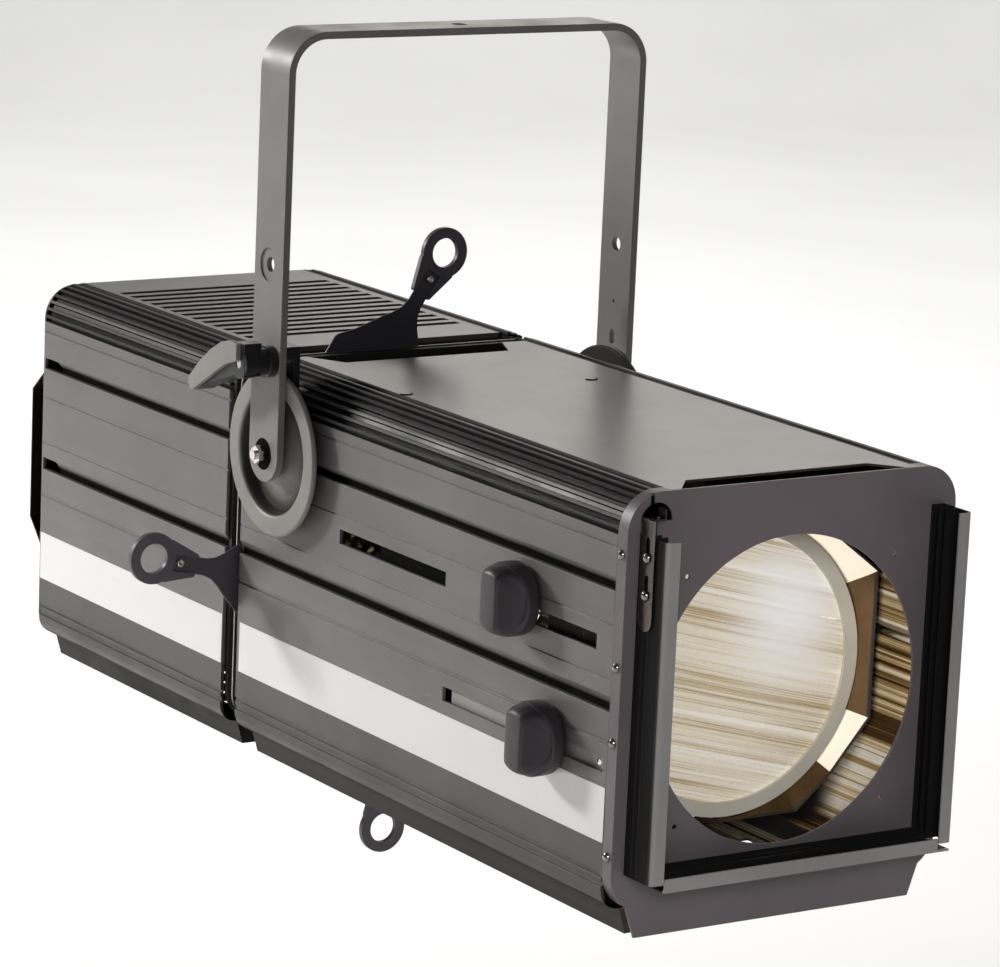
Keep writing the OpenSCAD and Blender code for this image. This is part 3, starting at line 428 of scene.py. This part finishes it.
MATS = {
    "yoke_paint": painted("yoke_paint", (0.255, 0.243, 0.232), rough=0.40, wear=0.55, lines=0.25, axis="z"),
    "black_nylon": plastic("black_nylon", (0.022, 0.022, 0.023), 0.45),
    "zinc_steel": metal("zinc_steel", (0.72, 0.70, 0.67), 0.18, None, 0.4, 0.15),
    "clamp_black": painted("clamp_black", (0.020, 0.020, 0.021), rough=0.34, wear=0.35, gloss=0.55),
    "lever_face": painted("lever_face", (0.30, 0.287, 0.274), rough=0.42, wear=0.25, axis="y", lines=0.2),
    "disc_paint": painted("disc_paint", (0.33, 0.318, 0.292), rough=0.38, wear=0.35, worn=(0.58, 0.56, 0.52), shade_by=disc_shade),
    "housing_paint": housing_shell(),
    "cover_paint": painted("cover_paint", (0.135, 0.118, 0.104), rough=0.30, cloudy=0.2, wear=0.5, lines=0.05, grain=0.3, dust=0.03, tone=0.04),
    "base_black": painted("base_black", (0.009, 0.0085, 0.008), rough=0.50, wear=0.25, gloss=0.16, dust=0.03, lines=0.5),
    "front_paint": painted("front_paint", (0.135, 0.114, 0.122), rough=0.40, wear=0.45, grain=0.45),
    "runner_paint": painted("runner_paint", (0.26, 0.247, 0.245), rough=0.40, wear=0.5, lines=0.35, axis="z", shade_by=runner_shade),
    "gate_black": painted("gate_black", (0.018, 0.018, 0.018), rough=0.6, wear=0.3),
    "gate_steel": metal("gate_steel", (0.42, 0.40, 0.38), 0.35, "x"),
    "reflector_metal": reflector_skin(),
    "bare_aluminium": metal("bare_aluminium", (0.60, 0.585, 0.55), 0.34, "y", 0.8, 0.25, (0.36, 0.34, 0.30)),
    "ceramic": ceramic(),
    "quartz": quartz(),
    "lens_glass": glass_lens(),
    "lens_ring_paint": painted("lens_ring_paint", (0.84, 0.79, 0.66), rough=0.38, wear=0.2, worn=(0.4, 0.36, 0.28), dust=0.05),
    "carrier_gold": carrier_gold_mat(),
    "carrier_black": painted("carrier_black", (0.012, 0.0115, 0.011), rough=0.6, wear=0.1, gloss=0.2, dust=0.0),
    "knob_plastic": plastic("knob_plastic", (0.056, 0.048, 0.056), 0.44, 0.35, 0.3),
    "latch_steel": metal("latch_steel", (0.105, 0.092, 0.086), 0.26, "z", 0.7, 0.5, (0.04, 0.03, 0.03)),
    "blade_steel": painted("blade_steel", (0.075, 0.069, 0.080), rough=0.36, wear=0.5, lines=0.5, axis="x", tone=0.15, dust=0.03),
    "handle_fibre": plastic("handle_fibre", (0.120, 0.108, 0.124), 0.42, 0.35, 0.5, scale=1300),
}
MATS["label_vinyl"] = vinyl()
MATS["carrier_white"] = painted("carrier_white", (0.74, 0.70, 0.63), rough=0.34, wear=0.15, tone=0.08, dust=0.0, worn=(0.3, 0.22, 0.13))
MATS["rail_grey"] = painted("rail_grey", (0.31, 0.305, 0.285), rough=0.45, wear=0.8, lines=0.8, axis="y", worn=(0.42, 0.41, 0.38), dust=0.0)
MATS["dull_screw"] = metal("dull_screw", (0.30, 0.28, 0.26), 0.22, None, 0.3, 0.3)
MATS["rear_lens_glass"] = rear_glass()
MATS["lined_black"] = lined_black()
# painted shade: a near black with almost no gloss for the rear lens parts seen through the slots and for the pivot
# bushes, which sit in shade
MATS["painted_shade_black"] = painted("painted_shade_black", (0.003, 0.003, 0.003), rough=0.8, wear=0.0, gloss=0.04, dust=0.0)
OWN = {"rear_lens_rail": "painted_shade_black", "pivot_bushes": "painted_shade_black", "rear_lens_ring": "painted_shade_black", "rear_lens_carrier": "painted_shade_black", "front_lens_rail": "rail_grey", "front_screws": "dull_screw", "rear_lens": "rear_lens_glass", "front_bottom_box": "lined_black"}
MATS["bright_screw"] = metal("bright_screw", (0.80, 0.78, 0.74), 0.14, None, 0.25, 0.10)

for name, o in NODES.items():
    m = MATS[OWN.get(name, SLOT_OF[name])]
    o.data.materials.clear()
    o.data.materials.append(m)


# ------------------------------------------------------------------ mesh helpers
def make(name, verts, faces, body, mat, smooth=None):
    me = bpy.data.meshes.new(name)
    me.from_pydata([tuple(v) for v in verts], [], faces)
    me.validate()
    bm = bmesh.new()
    bm.from_mesh(me)
    bmesh.ops.recalc_face_normals(bm, faces=bm.faces)
    bm.to_mesh(me)
    bm.free()
    me.update()
    o = bpy.data.objects.new(name, me)
    bpy.context.scene.collection.objects.link(o)
    me.materials.append(MATS[mat] if isinstance(mat, str) else mat)
    if smooth is not None:
        me.shade_smooth()
        me.set_sharp_from_angle(angle=math.radians(smooth))
    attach(o, body)
    return o


def basis(axis):
    a = Vector(axis).normalized()
    u = a.orthogonal().normalized()
    return a, u, a.cross(u)


def lathe(profile, centre, axis, seg=48):
    """Closed solid of revolution from (radius, height) points in millimetres; first and last radius may be 0."""
    a, u, v = basis(axis)
    verts, rings = [], []
    for r, h in profile:
        if r < 1e-6:
            rings.append([len(verts)])
            verts.append(centre + a * (h / 1000))
        else:
            rings.append(list(range(len(verts), len(verts) + seg)))
            for k in range(seg):
                t = 2 * math.pi * k / seg
                verts.append(centre + a * (h / 1000) + (u * math.cos(t) + v * math.sin(t)) * (r / 1000))
    faces = []
    for A, B in zip(rings, rings[1:]):
        for k in range(seg):
            j = (k + 1) % seg
            if len(A) == 1:
                faces.append((A[0], B[k], B[j]))
            elif len(B) == 1:
                faces.append((A[k], A[j], B[0]))
            else:
                faces.append((A[k], A[j], B[j], B[k]))
    return verts, faces


def extrude(outline, to3, h0, h1, chamfer=0.0):
    """A flat outline of (u, v) millimetre points, given thickness from h0 to h1, with small chamfers; to3(u, v, h) places it."""
    n = len(outline)
    cx = sum(p[0] for p in outline) / n
    cy = sum(p[1] for p in outline) / n

    def inset(d):
        out = []
        for i in range(n):
            a, b, c = outline[i - 1], outline[i], outline[(i + 1) % n]
            e1 = Vector((b[0] - a[0], b[1] - a[1])).normalized()
            e2 = Vector((c[0] - b[0], c[1] - b[1])).normalized()
            nrm = Vector((-(e1.y + e2.y), e1.x + e2.x))
            nrm = nrm.normalized() if nrm.length > 1e-9 else Vector((0, 0))
            if nrm.dot(Vector((cx - b[0], cy - b[1]))) < 0:
                nrm = -nrm
            out.append((b[0] + nrm.x * d, b[1] + nrm.y * d))
        return out

    layers = [(h0, inset(chamfer)), (h0 + chamfer, outline), (h1 - chamfer, outline), (h1, inset(chamfer))] if chamfer else [(h0, outline), (h1, outline)]
    verts, rings = [], []
    for h, pts in layers:
        rings.append(list(range(len(verts), len(verts) + n)))
        verts += [to3(x, y, h) for x, y in pts]
    faces = [tuple(reversed(rings[0])), tuple(rings[-1])]
    for A, B in zip(rings, rings[1:]):
        faces += [(A[k], A[(k + 1) % n], B[(k + 1) % n], B[k]) for k in range(n)]
    return verts, faces


def rounded(x0, x1, y0, y1, r, n=6):
    pts = []
    for cx, cy, a in ((x1 - r, y1 - r, 0), (x0 + r, y1 - r, 90), (x0 + r, y0 + r, 180), (x1 - r, y0 + r, 270)):
        for k in range(n + 1):
            t = math.radians(a + 90 * k / n)
            pts.append((cx + r * math.cos(t), cy + r * math.sin(t)))
    return pts


COVER_TOP = max(v.co.z for v in NODES["front_top_cover"].data.vertices) * 1000 + 439

# ------------------------------------------------------------------ label stripes
for side, s in (("left", -1), ("right", 1)):
    for part, y0, y1 in (("front", 12.6, 556.8), ("rear", 586.7, 918.3)):
        v, f = extrude(rounded(y0, y1, -104, -62, 0.6, 3), lambda a, b, h, s=s: P(s * h, a, b), 150.03, 150.40, 0.12)
        make(f"label_stripe_{part}_{side}", v, f, "housing", "label_vinyl", 30)

# ------------------------------------------------------------------ shutter rivets
SH = {"left": ((-72.5, -40.4), 166.5, 160, 565.1, 570.1), "top": ((-39.2, 100.8), 57, 160, 574.6, 579.3),
      "right": ((60, 18), 8, 160, 568.3, 572.9), "bottom": ((3.2, -70), -88, 195, 577.4, 581.9)}
for s, (pin, deg, reach, y0, y1) in SH.items():
    c, sn = math.cos(math.radians(deg)), math.sin(math.radians(deg))
    q = (pin[0] + (reach - 26) * c, pin[1] + (reach - 26) * sn)
    k = 0.06 if s == "left" else 1.0     # set flush where the handle passes close to a gate plate
    head = [(0, 0.35 * k), (1.0, 0.35 * k), (1.3, 0.85 * k), (1.8, 1.1 * k), (2.5, 1.0 * k), (3.1, 0.62 * k), (3.4, 0.1 * k), (3.4, 0.0), (0, 0.0)]
    v, f = lathe(head, P(q[0], y0 - 0.02, q[1]), (0, -1, 0), 32)
    make(f"shutter_rivet_head_{s}", v, f, "shutter_" + s, "bright_screw", 40)
    k = 0.06 if s == "right" else 1.0
    tail = [(0, 0.5 * k), (1.2, 0.5 * k), (1.4, 0.9 * k), (2.2, 0.9 * k), (2.6, 0.5 * k), (2.7, 0.0), (0, 0.0)]
    v, f = lathe(tail, P(q[0], y1 + 0.02, q[1]), (0, 1, 0), 32)
    make(f"shutter_rivet_tail_{s}", v, f, "shutter_" + s, "bright_screw", 40)


# ------------------------------------------------------------------ lens knobs
def smooth01(x):
    x = max(0.0, min(1.0, x))
    return x * x * (3 - 2 * x)


def knob_height(u, v):
    """Face of a knob, in mm above its foot: a broad upright grip, hollowed down to a low rim on both sides."""
    a, rr = abs(u), math.hypot(u, v)
    t = max(0.0, min(1.0, (a - 12.2) / 13.8))
    f = 1.0 - 0.02 * (a / 9.0) ** 2 - 0.06 * smooth01((a - 9.0) / 3.2) if a < 12.2 else 0.903 * (1 - t) ** 2.0
    x = max(0.0, min(0.96, (rr - 19.6) / 8.4))
    rim = 1.3 * smooth01((rr - 23.2) / 2.6) * smooth01((a - 11.0) / 6.0)
    return 9.4 + 20.2 * f * math.sqrt(1 - x * x) + rim


def knob(name, body, y, z):
    """A round knob whose grip runs upright across it; its mesh lines follow the grip."""
    R0 = 27.4
    cols = sorted({round(R0 * math.sin(math.radians(q)), 4) for q in range(-90, 91, 5)} | {s * w for s in (-1, 1) for w in (9.0, 9.8, 10.6, 11.2, 11.7, 12.2, 12.8, 13.4, 14.2)})
    rows = 56
    verts, grid = [], []
    for u in cols:
        w = math.sqrt(max(0.0, R0 * R0 - u * u))
        if w < 1e-3:
            grid.append([len(verts)] * (rows + 1))
            verts.append(P(-153 - knob_height(u, 0), y + u, z))
            continue
        line = []
        for k in range(rows + 1):
            v = w * math.sin(math.radians(-90 + 180 * k / rows))
            line.append(len(verts))
            verts.append(P(-153 - knob_height(u, v), y + u, z + v))
        grid.append(line)
    faces = []
    for A, B in zip(grid, grid[1:]):
        for k in range(rows):
            q = []
            for i in (A[k], B[k], B[k + 1], A[k + 1]):
                if i not in q:
                    q.append(i)
            if len(q) > 2:
                faces.append(tuple(q))
    rim = [(cols[0], 0.0, grid[0][0])]
    rim += [(u, -math.sqrt(R0 * R0 - u * u), g[0]) for u, g in zip(cols[1:-1], grid[1:-1])]
    rim += [(cols[-1], 0.0, grid[-1][0])]
    rim += [(u, math.sqrt(R0 * R0 - u * u), g[-1]) for u, g in reversed(list(zip(cols[1:-1], grid[1:-1])))]
    last = [i for _, _, i in rim]
    for r, f, drop in ((27.9, 1.0, 0.35), (28.3, 1.0, 0.9), (28.5, 1.0, 1.7), (28.5, 0.7, 1.7), (28.5, 0.45, 1.7), (28.4, 0.25, 1.0), (28.1, 0.12, 0.4), (27.4, 0.03, 0.1), (26.2, 0.0, 0.0), (16.0, 0.0, 0.0)):
        ring = []
        for u, v, _ in rim:
            h = max(0.0, knob_height(u, v) * f - drop)
            ring.append(len(verts))
            verts.append(P(-153 - h, y + u * r / R0, z + v * r / R0))
        n = len(ring)
        faces += [(last[k], ring[k], ring[(k + 1) % n], last[(k + 1) % n]) for k in range(n)]
        last = ring
    c = len(verts)
    verts.append(P(-153, y, z))
    faces += [(c, last[(k + 1) % len(last)], last[k]) for k in range(len(last))]
    return make(name, verts, faces, body, "knob_plastic", 50)


for name, y, z, e, x_in in (("focus_knob", 91, -44.5, 2, -126), ("zoom_knob", 133, 47.4, 7.5, -143)):
    o = knob(name + "_grip", name, y, z + e)
    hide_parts(name)
    v, f = lathe([(0, 0), (2.1, 0), (2.5, 0.4), (2.5, abs(-152.99 - x_in) - 0.4), (2.1, abs(-152.99 - x_in)), (0, abs(-152.99 - x_in))], P(x_in, y, z), (-1, 0, 0), 32)
    make(name + "_stud", v, f, name, "latch_steel", 40)

# ------------------------------------------------------------------ tapered collar of the front lens carriage
def collar():
    """Thin folded collar: tapered flat faces from the lens ring out to an octagonal rim; facets that face the lamps
    painted pale as painted highlight, the others brown as painted shade.
    """
    rim = [(130, -52), (130, 66), (96, 92), (66, 119), (-66, 119), (-96, 92), (-130, 66), (-130, -52), (-96, -92), (-64, -119), (64, -119), (96, -92)]
    yr, slope, t, cut, steps = 63.0, 0.62, 1.1, 10, 7
    n = len(rim)
    edges = []
    for i in range(n):
        a, b = Vector(rim[i]), Vector(rim[(i + 1) % n])
        e = (b - a).normalized()
        m = Vector((-e.y, e.x))
        if m.dot(-(a + b) / 2) < 0:
            m = -m
        edges.append((a, m))

    def depth(x, z):
        d = [max(0.0, m.dot(Vector((x, z)) - a)) for a, m in edges]
        k = min(range(n), key=lambda q: d[q])
        return d[k], k

    rings = [[] for _ in range(steps + 1)]
    for i in range(n):
        a, b = rim[i], rim[(i + 1) % n]
        for k in range(cut):
            x, z = a[0] + (b[0] - a[0]) * k / cut, a[1] + (b[1] - a[1]) * k / cut
            d = math.hypot(x, z)
            q = min(116.9, d - 1.4)
            for w in range(steps + 1):
                f = 0.0 if w == 0 else (1.7 / max(2.0, d - q) if w == 1 and d - q > 4 else w / steps)
                s_ = 1 + (q / d - 1) * f
                rings[w].append((x * s_, z * s_))
    m = n * cut
    verts = []
    for back in (0.0, t):
        for ring in rings:
            for x, z in ring:
                verts.append(P(x, min(79.6, yr + slope * depth(x, z)[0]) + back, z))
    faces, mats = [], []
    # painted light: facets in this list get carrier_white as painted highlight, the rest carrier_gold as painted shade
    bright = (1, 2, 5, 6, 7, 11)
    L = (steps + 1) * m
    for w in range(steps):
        for k in range(m):
            j = (k + 1) % m
            quad = [rings[w][k], rings[w + 1][k], rings[w + 1][j], rings[w][j]]
            cx, cz = sum(p[0] for p in quad) / 4, sum(p[1] for p in quad) / 4
            tone = 2 if w == 0 else (1 if depth(cx, cz)[1] in bright else 0)
            faces.append((w * m + k, (w + 1) * m + k, (w + 1) * m + j, w * m + j)); mats.append(tone)
            faces.append((L + w * m + j, L + (w + 1) * m + j, L + (w + 1) * m + k, L + w * m + k)); mats.append(2)
    for k in range(m):
        j = (k + 1) % m
        faces.append((k, j, L + j, L + k)); mats.append(2)
        faces.append((steps * m + j, steps * m + k, L + steps * m + k, L + steps * m + j)); mats.append(2)
    o = make("front_carrier_collar", verts, faces, "front_lens_slide", "carrier_gold", 12)
    o.data.materials.append(MATS["carrier_white"])
    o.data.materials.append(MATS["carrier_black"])
    for poly, mi in zip(o.data.polygons, mats):
        poly.material_index = mi


collar()

# ------------------------------------------------------------------ small screws and marks
sunk = [(0, 0.05), (0.45, 0.05), (0.5, 0.36), (2.5, 0.38), (2.9, 0.22), (3.0, 0.0), (0, 0.0)]
v, f = lathe(sunk, P(-146.5, 27, -45.8), (-1, 0, 0), 32)
make("rail_screw", v, f, "front_lens_slide", "bright_screw", 40)
for k, (x, y, a0) in enumerate(((-107, 381, 200), (70, 382, 200))):
    pts = []
    for t in range(0, 13):
        t = math.radians(a0 + 150 * t / 12)
        pts.append((x + 6.4 * math.cos(t), y + 6.4 * math.sin(t)))
    for t in range(12, -1, -1):
        t = math.radians(a0 + 150 * t / 12)
        pts.append((x + 5.2 * math.cos(t), y + 5.2 * math.sin(t)))
    v, f = extrude(pts, lambda u, w, h: P(u, w, h), COVER_TOP + 0.02, COVER_TOP + 0.75)
    make(f"cover_mark_{k + 1}", v, f, "housing", "base_black")

# ------------------------------------------------------------------ camera
a, e, r = -0.577917814, 0.211132835, 0.0437453679
back = Vector((math.sin(a) * math.cos(e), -math.cos(a) * math.cos(e), math.sin(e)))
right = Vector((math.cos(a), math.sin(a), 0))
up = back.cross(right)
R = right * math.cos(r) + up * math.sin(r)
U = -right * math.sin(r) + up * math.cos(r)
cam_data = bpy.data.cameras.new("camera")
cam = bpy.data.objects.new("camera", cam_data)
bpy.context.scene.collection.objects.link(cam)
cam.location = P(-1998.11133, -2662.04732, 859.216291)
cam.rotation_mode = "QUATERNION"
cam.rotation_quaternion = Matrix((R, U, back)).transposed().to_quaternion()
cam_data.sensor_width = 36
cam_data.lens = 4600.34442 * 36 / 1000
cam_data.clip_start, cam_data.clip_end = 0.05, 60
bpy.context.scene.camera = cam

# ------------------------------------------------------------------ floor
FLOOR = -0.98


def sweep_floor():
    """A pale floor that curves up into a backdrop behind the object."""
    g = Graph("studio_floor")
    col = g.mix(g.ramp(g.noise(1.2, 4), 0.3, 0.7), (0.80, 0.795, 0.785), (0.84, 0.835, 0.825))
    mat = g.end(g.shader(color=col, rough=0.75, normal=g.bump(g.noise(120, 3), 0.05, 0.001), spec=0.25))
    pts = []
    prof = [(-9.0, 0.0), (-3.0, 0.0), (2.0, 0.0), (6.5, 0.0)]
    for k in range(1, 17):
        t = math.radians(90 * k / 16)
        prof.append((6.5 + 3.0 * math.sin(t), 3.0 * (1 - math.cos(t))))
    prof.append((9.5, 9.0))
    d = Vector((0.5463, 0.8376, 0))     # away from the camera
    w = Vector((0.8376, -0.5463, 0))
    verts, faces = [], []
    for yy, zz in prof:
        for xx in (-12.0, 12.0):
            verts.append(d * yy + w * xx + Vector((0, 0, FLOOR + zz)))
    for i in range(len(prof) - 1):
        faces.append((2 * i, 2 * i + 1, 2 * i + 3, 2 * i + 2))
    me = bpy.data.meshes.new("studio_floor")
    me.from_pydata([tuple(v) for v in verts], [], faces)
    me.shade_smooth()
    o = bpy.data.objects.new("studio_floor", me)
    bpy.context.scene.collection.objects.link(o)
    me.materials.append(mat)


sweep_floor()


# ------------------------------------------------------------------ light
def area(name, loc, target, w, h, power, color=(1, 1, 1), spread=180):
    d = bpy.data.lights.new(name, "AREA")
    d.shape, d.size, d.size_y, d.energy, d.color = "RECTANGLE", w, h, power, color
    d.spread = math.radians(spread)
    o = bpy.data.objects.new(name, d)
    o.location = loc
    o.rotation_mode = "QUATERNION"
    o.rotation_quaternion = (Vector(target) - Vector(loc)).to_track_quat("-Z", "Y")
    bpy.context.scene.collection.objects.link(o)
    return o


world = bpy.data.worlds.new("studio")
bpy.context.scene.world = world
world.use_nodes = True
world.node_tree.nodes["Background"].inputs[0].default_value = (0.95, 0.96, 1.0, 1)
world.node_tree.nodes["Background"].inputs[1].default_value = 0.06


def only(light, names):
    """This light reaches only these CAD nodes."""
    c = bpy.data.collections.new(light.name + "_receivers")
    for n in names:
        c.objects.link(NODES[n])
    light.light_linking.receiver_collection = c


FRONT = ["front_cap", "frame_runner_left", "frame_runner_right", "frame_runner_bottom", "front_screws", "frame_latch", "front_lens_ring"]
TOPS = ["front_top_cover", "rear_top_grille"]
key = area("key_left", (-2.0, 2.5, 0.9), (0, -0.15, -0.45), 0.5, 0.5, 84, (1.0, 0.985, 0.96))
only(key, [n for n in NODES if n not in TOPS])
for o in bpy.data.objects:
    if o.type == "MESH" and o.name not in NODES:
        key.light_linking.receiver_collection.objects.link(o)
soft = area("key_soft", (-1.9, 2.4, 1.5), (0, -0.15, -0.35), 2.4, 1.6, 16, (1.0, 0.985, 0.96))
only(soft, TOPS)
area("left_soft", (-2.2, -3.0, 0.6), (0, -0.3, -0.45), 1.6, 1.2, 9)
face = area("front_soft", (-1.6, -3.4, 0.9), (0, -0.5, -0.45), 1.4, 1.0, 44)
only(face, FRONT)
area("top_back", (2.0, 2.5, 1.0), (0, -0.2, -0.3), 1.3, 1.0, 8, (1.0, 0.94, 0.86))
c = bpy.data.collections.new("floor_only")
c.objects.link(bpy.data.objects["studio_floor"])
for wash in (area("floor_wash", (0.6, 1.2, 3.4), (0.9, 1.6, -0.8), 5.0, 5.0, 165),
             area("backdrop_wash", (2.6, 4.0, 3.6), (3.6, 5.5, -0.3), 6.0, 5.0, 220)):
    wash.light_linking.receiver_collection = c
inner = area("mouth_glow", (-1.1, -1.6, -0.20), (0.06, -0.43, -0.45), 0.35, 0.35, 40, (1.0, 0.93, 0.82))
only(inner, ["front_lens_carrier", "front_side_right", "front_bottom_box", "guide_rods"])
inner.light_linking.receiver_collection.objects.link(bpy.data.objects["front_carrier_collar"])
bpy.context.scene.view_settings.view_transform = "Standard"
bpy.context.scene.view_settings.look = "None"
bpy.context.scene.view_settings.exposure = 0.0
